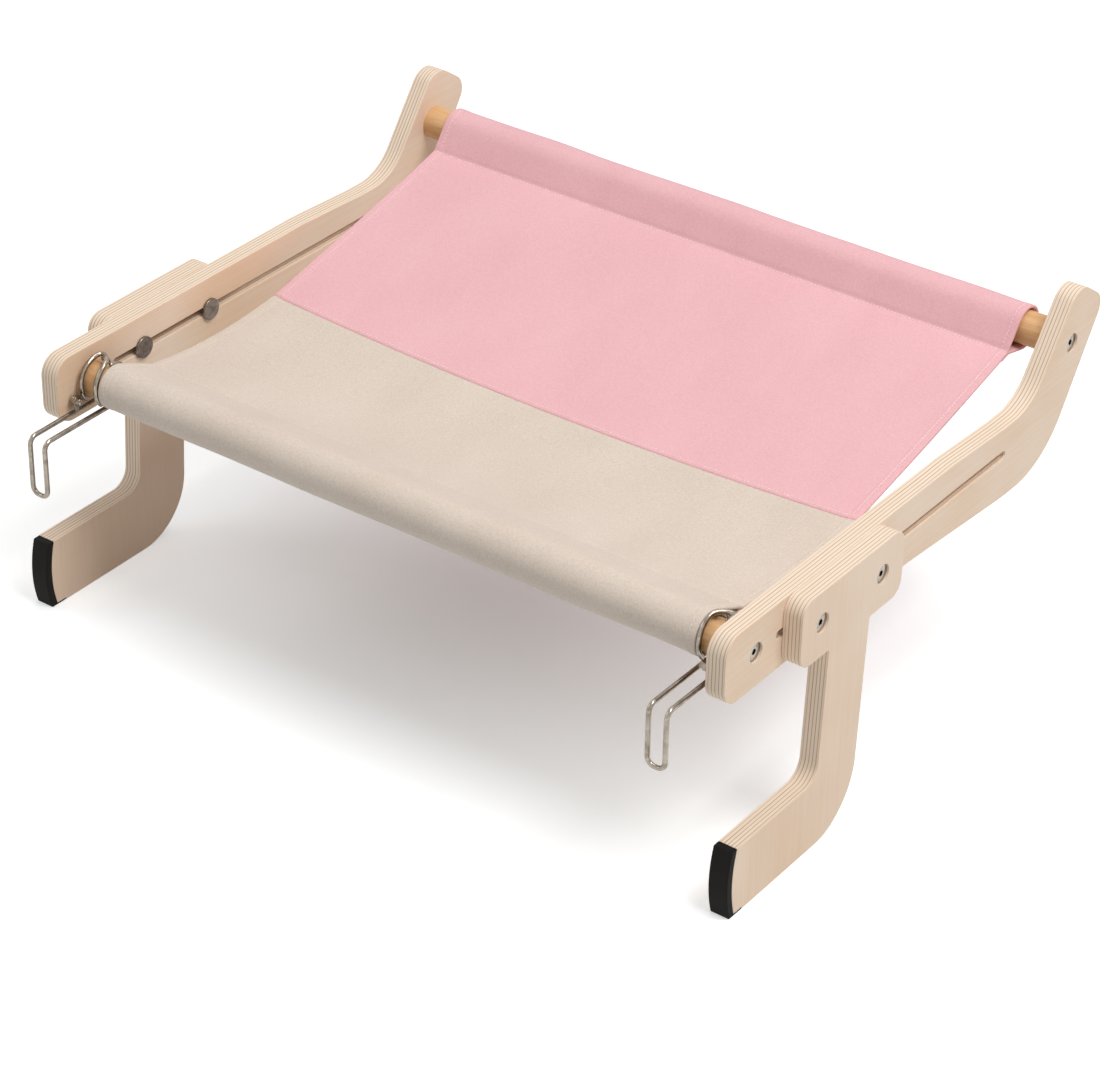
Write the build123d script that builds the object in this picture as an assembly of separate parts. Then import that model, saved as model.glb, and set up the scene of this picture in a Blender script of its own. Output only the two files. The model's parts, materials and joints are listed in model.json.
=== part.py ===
"""Hanging cat hammock: plywood side rails, two dowels, a cloth sling, sliding legs and wire hooks.

Frame: +X across the hammock, +Y from the board it hangs on towards its back, +Z up.
The origin is on the middle plane, where the wire hooks rest on the top edge of that board.
The board's outer face is the plane Y = 0, which the rubber foot pads bear on.
"""
import os
from math import cos, degrees, radians, sin, tan

from build123d import *

# Side view, measured back from the bearing plane and up or down from the front dowel's axis
front_dowel_y = 44.0
rear_dowel_y = 442.0
rear_dowel_rise = 51.0
dowel_radius = 12.7

# Plywood
ply = 15.0
overall_width = 590.0
slide_gap = 0.2

# Side rail, level arm
rail_front_y = 8.5
rail_above_axis = 25.5
rail_below_axis = 26.5
rail_front_corner_radius = 15.0
belly_start_y = 228.0
belly_end_y = 357.0
belly_drop = 10.0
belly_blend_radius = 260.0
waist_start_y = 285.0
waist_end_y = 352.0
waist_dip = 3.5
waist_blend_radius = 180.0

# Side rail, upright
upright_front_angle = 53.8
upright_rear_angle = 56.8
upright_half_width = 24.8
upright_end_beyond_dowel = 40.5
upright_front_corner_radius = 17.0
upright_rear_corner_radius = 14.0
inner_bend_radius = 45.0
outer_bend_radius = 70.0

# Slot in the level arm
slot_front_y = 67.0
slot_rear_y = 357.0
slot_height = 6.6

# Hex-socket fasteners shared by the dowels and the legs
recess_radius = 7.3
recess_depth = 5.0
flange_radius = 6.9
flange_thickness = 3.2
socket_across_flats = 4.0
socket_depth = 1.6
thread_radius = 3.0
thread_clearance = 0.05
hole_clearance = 0.3

# Dowel screws and inserts
dowel_screw_grip = 22.0
insert_radius = 4.9
insert_length = 15.0
insert_clearance = 0.05
dowel_bore_extra = 4.0

# Leg board
leg_head_front_y = 74.0
leg_head_rear_y = 197.5
leg_head_corner_radius = 12.0
post_front_top_y = 109.5
post_front_low_y = 104.6
post_width = 49.3
foot_drop_below_axis = 184.9
foot_height = 55.0
heel_radius = 48.0
ankle_radius = 15.0
neck_radius = 2.0
foot_end_y = 6.0
foot_end_bulge = 4.2

# Leg bolts and sleeve nuts
leg_bolt_front_y = 99.0
leg_bolt_rear_y = 172.5
leg_bolt_head_radius = 8.5
leg_bolt_head_thickness = 2.2
sleeve_nut_radius = 4.1
sleeve_nut_clearance = 0.1
sleeve_nut_tip_gap = 0.5
bolt_tip_gap = 0.7

# Foot pad
pad_thickness = 6.0
pad_lip_thickness = 1.5
pad_lip_length = 9.0
pad_corner_radius = 1.2

# Hook wire
wire_diameter = 4.0
wire_flats = 8
ring_clearance = 2.0
hook_arm_spacing = 14.0
hook_rail_gap = 4.8
hook_reach_y = -26.4
hook_drop = 47.0
hook_bend_radius = 6.0
hook_tip_radius = 6.4
ring_open_angle = 45.0
bridge_front_angle = 95.0
bridge_rear_angle = 88.0
bridge_lift = 1.2

# Hook clamp: two lugs, a small screw and a cap nut
clamp_forward = 22.5
clamp_below_axis = 8.0
lug_radius = 3.3
lug_tail_radius = 1.4
lug_thickness = 1.6
lug_gap = 0.2
clamp_screw_radius = 1.75
clamp_hole_clearance = 0.1
clamp_head_radius = 3.1
clamp_head_thickness = 1.3
clamp_nut_across_flats = 6.0
clamp_nut_height = 3.2
clamp_cap_radius = 2.6
clamp_cap_height = 2.4
clamp_seat_gap = 0.05

# Cloth sling
cloth = 2.0
sleeve_clearance = 0.6
sleeve_wall = 3.4
sleeve_tip_radius = 1.5
sleeve_slack_share = 0.9
sleeve_end_gap = 0.6
front_stitch_y = 82.0
front_stitch_rise = -0.6
seat_low_y = 140.0
seat_low_rise = -6.0
seam_y = 222.0
seam_rise = -2.0
back_mid_y = 318.0
back_mid_rise = 18.8
rear_stitch_y = 417.0
rear_stitch_rise = 41.6
seat_middle_sag = 8.0
seam_middle_sag = 9.0
back_middle_sag = 7.0
station_shares = (-1.0, -0.5, 0.0, 0.5, 1.0)

overrun = 20.0

# Places that follow from the sizes above
wire_radius = wire_diameter / 2
ring_radius = dowel_radius + ring_clearance + wire_radius
axis_z = wire_radius + ring_radius
rail_outer_x = overall_width / 2
rail_inner_x = rail_outer_x - ply
leg_inner_x = rail_outer_x + slide_gap
leg_outer_x = leg_inner_x + ply
rail_ring_x = rail_inner_x - hook_rail_gap
sleeve_ring_x = rail_ring_x - hook_arm_spacing
sling_half_width = sleeve_ring_x - wire_radius - sleeve_end_gap
foot_bottom_z = axis_z - foot_drop_below_axis

os.makedirs("parts", exist_ok=True)


def save(node, *solids):
    """Writes one node as a STEP file holding its separate solids."""
    shape = solids[0] if len(solids) == 1 else Compound(children=list(solids))
    shape.label = node
    export_step(shape, f"parts/{node}.step")


def side_plane(x):
    """A sketch plane across the hammock: its own X is +Y, its own Y is +Z."""
    return Plane(origin=(x, 0, 0), x_dir=(0, 1, 0), z_dir=(1, 0, 0))


def plate(outline, x_low, thickness):
    """A flat board: a closed side-view outline given a thickness along X."""
    face = make_face(outline)
    return extrude(side_plane(x_low) * face, amount=thickness)


def rod(x_from, x_to, y, z, radius):
    """A round bar along X between two faces."""
    low, high = min(x_from, x_to), max(x_from, x_to)
    return extrude(side_plane(low) * (Pos(y, z) * Circle(radius)), amount=high - low)


def hex_bar(x_from, x_to, y, z, across_flats):
    """A hexagonal bar along X between two faces."""
    low, high = min(x_from, x_to), max(x_from, x_to)
    hexagon = Pos(y, z) * RegularPolygon(across_flats / 2, 6, major_radius=False)
    return extrude(side_plane(low) * hexagon, amount=high - low)


def line_crossing(a, angle_a, b, angle_b):
    """Where the line through a at one angle meets the line through b at another."""
    ta, tb = tan(radians(angle_a)), tan(radians(angle_b))
    y = (b[1] - a[1] + ta * a[0] - tb * b[0]) / (ta - tb)
    return (y, a[1] + ta * (y - a[0]))


# Side rail: a level arm that swells to a belly, then a dog-leg up to a tapering upright
rear_axis_z = axis_z + rear_dowel_rise
rail_top_z = axis_z + rail_above_axis
rail_bottom_z = axis_z - rail_below_axis


def rail_outline():
    """The rail's closed outline with every corner rounded to its own radius."""
    lean = (upright_front_angle + upright_rear_angle) / 2
    across = (sin(radians(lean)), -cos(radians(lean)))
    along = (cos(radians(lean)), sin(radians(lean)))
    front_side = (
        rear_dowel_y - upright_half_width * across[0],
        rear_axis_z - upright_half_width * across[1],
    )
    rear_side = (
        rear_dowel_y + upright_half_width * across[0],
        rear_axis_z + upright_half_width * across[1],
    )
    end = (
        rear_dowel_y + upright_end_beyond_dowel * along[0],
        rear_axis_z + upright_end_beyond_dowel * along[1],
    )
    end_angle = lean - 90
    belly_z = rail_bottom_z - belly_drop
    waist_z = rail_top_z - waist_dip
    points = [
        (rail_front_y, rail_bottom_z),
        (rail_front_y, rail_top_z),
        (waist_start_y, rail_top_z),
        (waist_end_y, waist_z),
        line_crossing((waist_end_y, waist_z), 0, front_side, upright_front_angle),
        line_crossing(front_side, upright_front_angle, end, end_angle),
        line_crossing(rear_side, upright_rear_angle, end, end_angle),
        line_crossing(rear_side, upright_rear_angle, (belly_end_y, belly_z), 0),
        (belly_end_y, belly_z),
        (belly_start_y, rail_bottom_z),
    ]
    radii = [
        rail_front_corner_radius,
        rail_front_corner_radius,
        waist_blend_radius,
        waist_blend_radius,
        inner_bend_radius,
        upright_front_corner_radius,
        upright_rear_corner_radius,
        outer_bend_radius,
        belly_blend_radius,
        belly_blend_radius,
    ]
    return FilletPolyline(*points, radius=radii, close=True)


def side_rail(side):
    """One rail: the board, the slot, and a counterbored hole for each dowel screw."""
    x_low = rail_inner_x if side > 0 else -rail_outer_x
    board = plate(rail_outline(), x_low, ply)
    slot_middle_y = (slot_front_y + slot_rear_y) / 2
    slot = Pos(slot_middle_y, axis_z) * SlotOverall(slot_rear_y - slot_front_y, slot_height)
    board -= extrude(side_plane(x_low - overrun) * slot, amount=ply + overrun * 2)
    outer = side * rail_outer_x
    for y, z in ((front_dowel_y, axis_z), (rear_dowel_y, rear_axis_z)):
        board -= rod(outer + side * overrun, outer - side * recess_depth, y, z, recess_radius)
        hole_end = side * rail_inner_x - side * overrun
        board -= rod(outer + side * overrun, hole_end, y, z, thread_radius + hole_clearance)
    return board


# Dowels: turned rods butted on the rails, bored at both ends for their inserts
dowel_bore_depth = dowel_screw_grip + dowel_bore_extra


def dowel(y, z):
    """A dowel with a blind bore in each end."""
    bar = rod(-rail_inner_x, rail_inner_x, y, z, dowel_radius)
    for side in (-1, 1):
        inner_end = side * (rail_inner_x - dowel_bore_depth)
        mouth = side * (rail_inner_x + overrun)
        bar -= rod(inner_end, mouth, y, z, insert_radius + insert_clearance)
    return bar


def dowel_insert(side, y, z):
    """A threaded sleeve set flush in a dowel's end."""
    inner_end = side * (rail_inner_x - insert_length)
    sleeve = rod(inner_end, side * rail_inner_x, y, z, insert_radius)
    return sleeve - rod(-overall_width, overall_width, y, z, thread_radius + thread_clearance)


def socket_flange(side, outer_face_x, y, z):
    """A fastener's flat flange in a counterbore, with a hexagonal socket."""
    seat_x = outer_face_x - side * recess_depth
    top_x = seat_x + side * flange_thickness
    flange = rod(seat_x, top_x, y, z, flange_radius)
    return flange - hex_bar(top_x - side * socket_depth, top_x + side * overrun, y, z, socket_across_flats)


def dowel_screw(side, y, z):
    """A hex-socket screw from the rail's counterbore into a dowel's insert."""
    seat_x = side * (rail_outer_x - recess_depth)
    tip_x = side * (rail_inner_x - dowel_screw_grip)
    return socket_flange(side, side * rail_outer_x, y, z) + rod(seat_x, tip_x, y, z, thread_radius)


# Legs: one board with a head plate, a leaning post, a curved heel and a forward foot
head_bottom_z = rail_bottom_z
head_top_z = rail_top_z
foot_top_z = foot_bottom_z + foot_height
post_lean = (post_front_top_y - post_front_low_y) / (head_bottom_z - foot_top_z)


def leg_outline():
    """The leg's closed outline; the foot's front end bows forwards on one arc."""
    post_rear_top_y = post_front_top_y + post_width
    post_rear_low_y = post_rear_top_y - post_lean * (head_bottom_z - foot_bottom_z)
    post_front_foot_y = post_front_top_y - post_lean * (head_bottom_z - foot_top_z)
    shoulder_y = foot_end_y + foot_end_bulge
    points = [
        (shoulder_y, foot_top_z),
        (post_front_foot_y, foot_top_z),
        (post_front_top_y, head_bottom_z),
        (leg_head_front_y, head_bottom_z),
        (leg_head_front_y, head_top_z),
        (leg_head_rear_y, head_top_z),
        (leg_head_rear_y, head_bottom_z),
        (post_rear_top_y, head_bottom_z),
        (post_rear_low_y, foot_bottom_z),
        (shoulder_y, foot_bottom_z),
    ]
    radii = [
        ankle_radius,
        neck_radius,
        leg_head_corner_radius,
        leg_head_corner_radius,
        leg_head_corner_radius,
        leg_head_corner_radius,
        neck_radius,
        heel_radius,
    ]
    body = FilletPolyline(*points, radius=radii)
    foot_middle_z = (foot_top_z + foot_bottom_z) / 2
    bow = ThreePointArc(points[-1], (foot_end_y, foot_middle_z), points[0])
    return body + bow


def leg_board(side):
    """One leg board, drilled for its two sleeve nuts and rebated under the pad's lip."""
    x_low = leg_inner_x if side > 0 else -leg_outer_x
    board = plate(leg_outline(), x_low, ply)
    outer = side * leg_outer_x
    lip_end_y = foot_end_y + foot_end_bulge + pad_lip_length
    rebate = Polyline(
        (lip_end_y - overrun, foot_bottom_z + pad_lip_thickness),
        (lip_end_y, foot_bottom_z + pad_lip_thickness),
        (lip_end_y, foot_bottom_z - overrun),
        (lip_end_y - overrun, foot_bottom_z - overrun),
        close=True,
    )
    board -= plate(rebate, x_low, ply)
    for y in (leg_bolt_front_y, leg_bolt_rear_y):
        board -= rod(outer + side * overrun, outer - side * recess_depth, y, axis_z, recess_radius)
        hole_end = side * (leg_inner_x - overrun)
        hole_radius = sleeve_nut_radius + sleeve_nut_clearance
        board -= rod(outer + side * overrun, hole_end, y, axis_z, hole_radius)
    return board


def leg_nut(side, y):
    """A sleeve nut: a socket flange with a barrel, bored from its inner end."""
    seat_x = side * (leg_outer_x - recess_depth)
    barrel_end_x = side * (leg_inner_x + sleeve_nut_tip_gap)
    nut = socket_flange(side, side * leg_outer_x, y, axis_z)
    nut += rod(seat_x, barrel_end_x, y, axis_z, sleeve_nut_radius)
    bore_radius = thread_radius + thread_clearance
    return nut - rod(seat_x - side * bolt_tip_gap, barrel_end_x - side * overrun, y, axis_z, bore_radius)


def leg_bolt(side, y):
    """A flat round-headed bolt from inside, through the slot and into the sleeve nut."""
    seat_x = side * (rail_inner_x - slide_gap)
    top_x = seat_x - side * leg_bolt_head_thickness
    tip_x = side * (leg_outer_x - recess_depth - bolt_tip_gap * 2)
    head = rod(seat_x, top_x, y, axis_z, leg_bolt_head_radius)
    return head + rod(seat_x, tip_x, y, axis_z, thread_radius)


def foot_pad(side):
    """A rubber pad moulded to the foot's bowed end, with a thin lip let in under it."""
    x_low = leg_inner_x if side > 0 else -leg_outer_x
    middle_z = (foot_top_z + foot_bottom_z) / 2
    shoulder_y = foot_end_y + foot_end_bulge
    lip_z = foot_bottom_z + pad_lip_thickness
    lip_end_y = shoulder_y + pad_lip_length
    front_shoulder_y = shoulder_y - pad_thickness
    bow = ThreePointArc((shoulder_y, foot_bottom_z), (foot_end_y, middle_z), (shoulder_y, foot_top_z))
    lip_start_y = bow.intersect(Line((foot_end_y, lip_z), (lip_end_y, lip_z))).vertices()[0].X
    outline = ThreePointArc(
        (front_shoulder_y, foot_bottom_z),
        (foot_end_y - pad_thickness, middle_z),
        (front_shoulder_y, foot_top_z),
    )
    outline += Line((front_shoulder_y, foot_top_z), (shoulder_y, foot_top_z))
    outline += ThreePointArc((shoulder_y, foot_top_z), (foot_end_y, middle_z), (lip_start_y, lip_z))
    outline += Polyline(
        (lip_start_y, lip_z), (lip_end_y, lip_z), (lip_end_y, foot_bottom_z), (front_shoulder_y, foot_bottom_z)
    )
    pad = plate(outline, x_low, ply)
    front_rim = pad.edges().filter_by(Axis.X).sort_by(Axis.Y)[:2]
    return fillet(front_rim, pad_corner_radius)


# Hooks: one bent wire with a ring round the dowel at each end of its two arms
arm_z = axis_z - ring_radius


def ring_point(x, angle, radius=ring_radius):
    """A point round the front dowel: 0 degrees is to the rear, 90 is on top."""
    a = radians(angle)
    return (x, front_dowel_y + radius * cos(a), axis_z + radius * sin(a))


def wire_stretch(edge):
    """One straight or bent stretch of the hook's wire, its section drawn as narrow flats."""
    runs_across = abs((edge % 0).X) + abs((edge % 1).X) > 0.5
    across = (0, 1, 0) if runs_across else (1, 0, 0)
    flats = RegularPolygon(wire_radius, wire_flats, major_radius=False, rotation=180 / wire_flats)
    section = Plane(origin=edge @ 0, x_dir=across, z_dir=edge % 0) * flats
    if edge.geom_type == GeomType.LINE:
        return extrude(section, amount=edge.length)
    spoke = edge @ 0 - edge.arc_center
    pivot = Axis(edge.arc_center, spoke.cross(edge % 0))
    return revolve(section, pivot, degrees(edge.length / edge.radius))


def hook_wire(side):
    """The wire: ring, arm, down-turned end, arm and ring, with a bridge and two clamp lugs."""
    rail_x = side * rail_ring_x
    sleeve_x = side * sleeve_ring_x
    ring_end = 270 - ring_open_angle
    tip_z = arm_z + wire_radius - hook_drop
    rail_ring = ThreePointArc(ring_point(rail_x, ring_end), ring_point(rail_x, 90), ring_point(rail_x, -90))
    sleeve_ring = ThreePointArc(
        ring_point(sleeve_x, -90), ring_point(sleeve_x, 90), ring_point(sleeve_x, ring_end)
    )
    run = FilletPolyline(
        ring_point(rail_x, -90),
        (rail_x, hook_reach_y, arm_z),
        (rail_x, hook_reach_y, tip_z),
        (sleeve_x, hook_reach_y, tip_z),
        (sleeve_x, hook_reach_y, arm_z),
        ring_point(sleeve_x, -90),
        radius=[hook_bend_radius, hook_tip_radius, hook_tip_radius, hook_bend_radius],
    )
    wire = wire_stretch(rail_ring.edge())
    for edge in [*run.edges(), sleeve_ring.edge()]:
        wire += wire_stretch(edge)
    bridge_radius = ring_radius + bridge_lift
    bridge = Line(
        ring_point(sleeve_x, bridge_front_angle, bridge_radius),
        ring_point(rail_x, bridge_rear_angle, bridge_radius),
    )
    wire += wire_stretch(bridge.edge())
    clamp_y = front_dowel_y - clamp_forward
    clamp_z = axis_z - clamp_below_axis
    ring_tip = ring_point(rail_x, ring_end)
    outer_low = min(rail_x + side * lug_gap / 2, rail_x + side * (lug_gap / 2 + lug_thickness))
    inner_low = min(rail_x - side * lug_gap / 2, rail_x - side * (lug_gap / 2 + lug_thickness))
    ring_lug = make_hull(
        (Pos(clamp_y, clamp_z) * Circle(lug_radius)).edges()
        + (Pos(ring_tip[1], ring_tip[2]) * Circle(lug_tail_radius)).edges()
    )
    arm_lug = make_hull(
        (Pos(clamp_y, clamp_z) * Circle(lug_radius)).edges()
        + (Pos(clamp_y, arm_z) * Circle(lug_tail_radius)).edges()
    )
    wire += extrude(side_plane(outer_low) * ring_lug, amount=lug_thickness)
    wire += extrude(side_plane(inner_low) * arm_lug, amount=lug_thickness)
    hole_radius = clamp_screw_radius + clamp_hole_clearance
    hole_ends = (rail_x - wire_diameter, rail_x + wire_diameter)
    return wire - rod(*hole_ends, clamp_y, clamp_z, hole_radius)


def hook_clamp(side):
    """The clamp's screw, headed beside the rail, and its cap nut between the arms."""
    y = front_dowel_y - clamp_forward
    z = axis_z - clamp_below_axis
    rail_x = side * rail_ring_x
    stack = lug_gap / 2 + lug_thickness
    head_x = rail_x + side * (stack + clamp_seat_gap)
    nut_x = rail_x - side * (stack + clamp_seat_gap)
    shank_end_x = nut_x - side * clamp_nut_height
    screw = rod(head_x, head_x + side * clamp_head_thickness, y, z, clamp_head_radius)
    screw += rod(head_x, shank_end_x, y, z, clamp_screw_radius)
    nut = hex_bar(nut_x, shank_end_x, y, z, clamp_nut_across_flats)
    nut += rod(shank_end_x, shank_end_x - side * clamp_cap_height, y, z, clamp_cap_radius)
    bore_radius = clamp_screw_radius + thread_clearance
    bore_end_x = shank_end_x - side * clamp_seat_gap
    return screw, nut - rod(nut_x + side * overrun, bore_end_x, y, z, bore_radius)


# Sling: two lofted panels, each with a drop-shaped sleeve sewn round its dowel
def sleeve(y, z, stitch_y, stitch_z, half_width):
    """A sleeve: the cloth goes round the dowel and closes at its stitch line."""
    inner_radius = dowel_radius + sleeve_clearance
    outer_radius = inner_radius + sleeve_wall
    reach = sleeve_slack_share
    inner_tip = (y + (stitch_y - y) * reach, z + (stitch_z - z) * reach)
    skin = make_hull(
        (Pos(y, z) * Circle(outer_radius)).edges()
        + (Pos(stitch_y, stitch_z) * Circle(sleeve_tip_radius)).edges()
    )
    hollow = make_hull(
        (Pos(y, z) * Circle(inner_radius)).edges()
        + (Pos(*inner_tip) * Circle(sleeve_tip_radius - cloth / 2)).edges()
    )
    return extrude(side_plane(-half_width) * (skin - hollow), amount=half_width * 2)


def panel_section(x, start, middle, end):
    """One lengthwise section of a panel: two arcs a cloth's thickness apart."""
    lower = [(p[0], p[1] - cloth) for p in (start, middle, end)]
    top = ThreePointArc(start, middle, end)
    bottom = ThreePointArc(lower[2], lower[1], lower[0])
    outline = top + Line(end, lower[2]) + bottom + Line(lower[0], start)
    return side_plane(x) * make_face(outline)


def panel_sheet(half_width, start, middle, end, sags):
    """A panel lofted across its width; the cloth sags most on the middle plane."""
    sections = []
    for share in station_shares:
        depth = 1 - share**2
        shifted = [(p[0], p[1] - sag * depth) for p, sag in zip((start, middle, end), sags)]
        sections.append(panel_section(half_width * share, *shifted))
    return loft(sections)


seat_start = (front_stitch_y, axis_z + front_stitch_rise + cloth / 2)
seat_middle = (seat_low_y, axis_z + seat_low_rise)
seam_point = (seam_y, axis_z + seam_rise)
back_middle = (back_mid_y, axis_z + back_mid_rise)
back_end = (rear_stitch_y, axis_z + rear_stitch_rise + cloth / 2)

seat_panel = panel_sheet(
    sling_half_width, seat_start, seat_middle, seam_point, (0, seat_middle_sag, seam_middle_sag)
)
seat_panel += sleeve(front_dowel_y, axis_z, front_stitch_y, axis_z + front_stitch_rise, sling_half_width)

back_panel = panel_sheet(
    sling_half_width, seam_point, back_middle, back_end, (seam_middle_sag, back_middle_sag, 0)
)
back_panel += sleeve(rear_dowel_y, rear_axis_z, rear_stitch_y, axis_z + rear_stitch_rise, sling_half_width)

# Writing the nodes
dowel_places = ((front_dowel_y, axis_z), (rear_dowel_y, rear_axis_z))
save("front_dowel", dowel(*dowel_places[0]))
save("rear_dowel", dowel(*dowel_places[1]))
save("dowel_inserts", *[dowel_insert(side, y, z) for side in (-1, 1) for y, z in dowel_places])
save("dowel_screws", *[dowel_screw(side, y, z) for side in (-1, 1) for y, z in dowel_places])
save("seat_panel", seat_panel)
save("back_panel", back_panel)
for name, side in (("left", -1), ("right", 1)):
    clamp_screw, clamp_nut = hook_clamp(side)
    save(f"{name}_side_rail", side_rail(side))
    save(f"{name}_leg_board", leg_board(side))
    save(f"{name}_leg_nuts", leg_nut(side, leg_bolt_front_y), leg_nut(side, leg_bolt_rear_y))
    save(f"{name}_leg_bolts", leg_bolt(side, leg_bolt_front_y), leg_bolt(side, leg_bolt_rear_y))
    save(f"{name}_foot_pad", foot_pad(side))
    save(f"{name}_hook_wire", hook_wire(side))
    save(f"{name}_hook_screw", clamp_screw)
    save(f"{name}_hook_nut", clamp_nut)
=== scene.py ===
"""Looks of a hanging hammock: plywood side rails, sliding legs, two dowels, a sewn sling and
wire hooks."""
import json
from math import cos, pi, radians, sin

import bmesh
import bpy
import numpy as np
from mathutils import Matrix, Vector

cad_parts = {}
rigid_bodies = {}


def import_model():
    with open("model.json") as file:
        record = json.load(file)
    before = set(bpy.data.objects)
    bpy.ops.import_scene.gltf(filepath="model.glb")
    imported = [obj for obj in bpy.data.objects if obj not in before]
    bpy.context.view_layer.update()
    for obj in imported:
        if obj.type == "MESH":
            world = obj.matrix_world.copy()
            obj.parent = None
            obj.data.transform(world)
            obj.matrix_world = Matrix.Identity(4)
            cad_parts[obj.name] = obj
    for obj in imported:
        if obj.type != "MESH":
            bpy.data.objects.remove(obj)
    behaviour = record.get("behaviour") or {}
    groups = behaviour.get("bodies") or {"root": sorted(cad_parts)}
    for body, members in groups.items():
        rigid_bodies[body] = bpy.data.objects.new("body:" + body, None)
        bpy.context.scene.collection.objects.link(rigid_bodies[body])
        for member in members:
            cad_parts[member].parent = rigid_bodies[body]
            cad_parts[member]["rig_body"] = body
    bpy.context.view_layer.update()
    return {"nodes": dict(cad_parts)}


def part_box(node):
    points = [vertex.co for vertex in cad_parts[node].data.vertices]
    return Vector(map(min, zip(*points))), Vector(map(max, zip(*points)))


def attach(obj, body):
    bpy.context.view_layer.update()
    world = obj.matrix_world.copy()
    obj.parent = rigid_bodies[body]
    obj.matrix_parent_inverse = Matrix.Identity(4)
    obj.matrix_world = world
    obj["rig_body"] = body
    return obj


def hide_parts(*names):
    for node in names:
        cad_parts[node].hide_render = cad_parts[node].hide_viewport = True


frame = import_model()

# Camera: stands in front and to the right of the hammock, above it, and leans a degree.
# A long lens from two and a half metres, as a product photographer would use.
mm = 0.001
camera_place = Vector((1306.2, -1574.1, 1313.5)) * mm
camera_turn = radians(35.8208)
camera_height = radians(32.4848)
camera_lean = radians(-1.1346)
camera_lens = 115.565
film_width = 36.0

towards_camera = Vector((
    sin(camera_turn) * cos(camera_height),
    -cos(camera_turn) * cos(camera_height),
    sin(camera_height),
))
level = (-towards_camera).cross(Vector((0, 0, 1))).normalized()
down = (-towards_camera).cross(level)
picture_x = level * cos(camera_lean) + down * sin(camera_lean)
picture_y = level * sin(camera_lean) - down * cos(camera_lean)
camera_data = bpy.data.cameras.new("camera")
camera_data.lens = camera_lens
camera_data.sensor_width = film_width
camera_data.sensor_fit = "HORIZONTAL"
camera = bpy.data.objects.new("camera", camera_data)
camera.matrix_world = Matrix((picture_x, picture_y, towards_camera)).transposed().to_4x4()
camera.location = camera_place
bpy.context.scene.collection.objects.link(camera)
bpy.context.scene.camera = camera


# Studio: a floor of matt white paper, one wide bright lamp high on the right and two weak ones.
# What the camera sees of the paper glows towards white, but least at the middle of the soft
# shadow under the seat: a painted shadow that deepens the real one there.
floor_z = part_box("left_leg_board")[0].z
floor_half = 6.0
painted_shadow_middle = (-0.05, 0.21, floor_z)
painted_shadow_reach = 0.355
painted_shadow_lift, full_lift = 0.195, 0.5
far_start, far_end, far_lift = 0.8, 2.0, 0.5
room_light = 0.28


def shade(code):
    """A colour's sRGB hex code as linear light: below a small step it is divided, above it a
    power curve."""
    steps = np.array([int(code[k:k + 2], 16) for k in (1, 3, 5)]) / 255
    light = np.where(steps <= 0.04045, steps / 12.92, ((steps + 0.055) / 1.055) ** 2.4)
    return (*light.tolist(), 1.0)


def add(tree, kind, sockets=None, **settings):
    """One shader node: settings are its properties, sockets gives each input a value or the
    output that feeds it."""
    node = tree.nodes.new("ShaderNode" + kind)
    for name, value in settings.items():
        setattr(node, name, value)
    for socket, value in (sockets or {}).items():
        if isinstance(value, bpy.types.NodeSocket):
            tree.links.new(value, node.inputs[socket])
        else:
            node.inputs[socket].default_value = value
    return node.outputs


def empty_tree(owner):
    """The owner's node tree with nothing in it."""
    owner.use_nodes = True
    owner.node_tree.nodes.clear()
    return owner.node_tree


def shown_rays(tree):
    """1 for a ray that shows the backdrop, from the camera, off metal or through glass, and 0
    for one that only lights the object."""
    ray = add(tree, "LightPath")
    seen = add(tree, "Math", {
        0: ray["Is Camera Ray"], 1: ray["Is Glossy Ray"],
    }, operation="MAXIMUM")
    seen = add(tree, "Math", {0: seen[0], 1: ray["Is Transmission Ray"]}, operation="MAXIMUM")
    return seen[0]


def place_mesh(name, points, faces, material):
    """A new object at the origin, shaded smooth, from an array of points in metres and a list
    of faces."""
    mesh = bpy.data.meshes.new(name)
    mesh.from_pydata(points.tolist(), [], faces)
    mesh.materials.append(material)
    mesh.shade_smooth()
    piece = bpy.data.objects.new(name, mesh)
    bpy.context.scene.collection.objects.link(piece)
    return piece


paper = bpy.data.materials.new("studio_paper")
tree = empty_tree(paper)
from_middle = add(tree, "VectorMath", {
    0: add(tree, "TexCoord")["Object"], 1: painted_shadow_middle,
}, operation="DISTANCE")["Value"]
# Painted shadow: the glow on the paper is least under the seat and full farther out.
lift = add(tree, "MapRange", {
    "Value": from_middle, "From Min": 0.0, "From Max": painted_shadow_reach,
    "To Min": painted_shadow_lift, "To Max": full_lift,
}, interpolation_type="SMOOTHSTEP")
far = add(tree, "MapRange", {
    "Value": from_middle, "From Min": far_start, "From Max": far_end, "To Max": far_lift,
})
lift = add(tree, "Math", {0: lift[0], 1: far[0]}, operation="ADD")
lift = add(tree, "Math", {0: shown_rays(tree), 1: lift[0]}, operation="MULTIPLY")
matt = add(tree, "BsdfDiffuse", {"Color": shade("#e4e7e7")})
glow = add(tree, "Emission", {"Color": shade("#ffffff"), "Strength": lift[0]})
both = add(tree, "AddShader", {0: matt[0], 1: glow[0]})
add(tree, "OutputMaterial", {"Surface": both[0]})
corners = np.array([(-1, -1), (1, -1), (1, 1), (-1, 1)]) * floor_half
corners = np.column_stack([corners, np.full(4, floor_z)])
floor = place_mesh("floor", corners, [(0, 1, 2, 3)], paper)
floor.data.shade_flat()

world = bpy.data.worlds.new("studio")
tree = empty_tree(world)
strength = add(tree, "MapRange", {"Value": shown_rays(tree), "To Min": room_light, "To Max": 1.0})
room = add(tree, "Background", {"Color": shade("#ffffff"), "Strength": strength[0]})
add(tree, "OutputWorld", {"Surface": room[0]})
bpy.context.scene.world = world
bpy.context.scene.view_settings.view_transform = "Standard"

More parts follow.
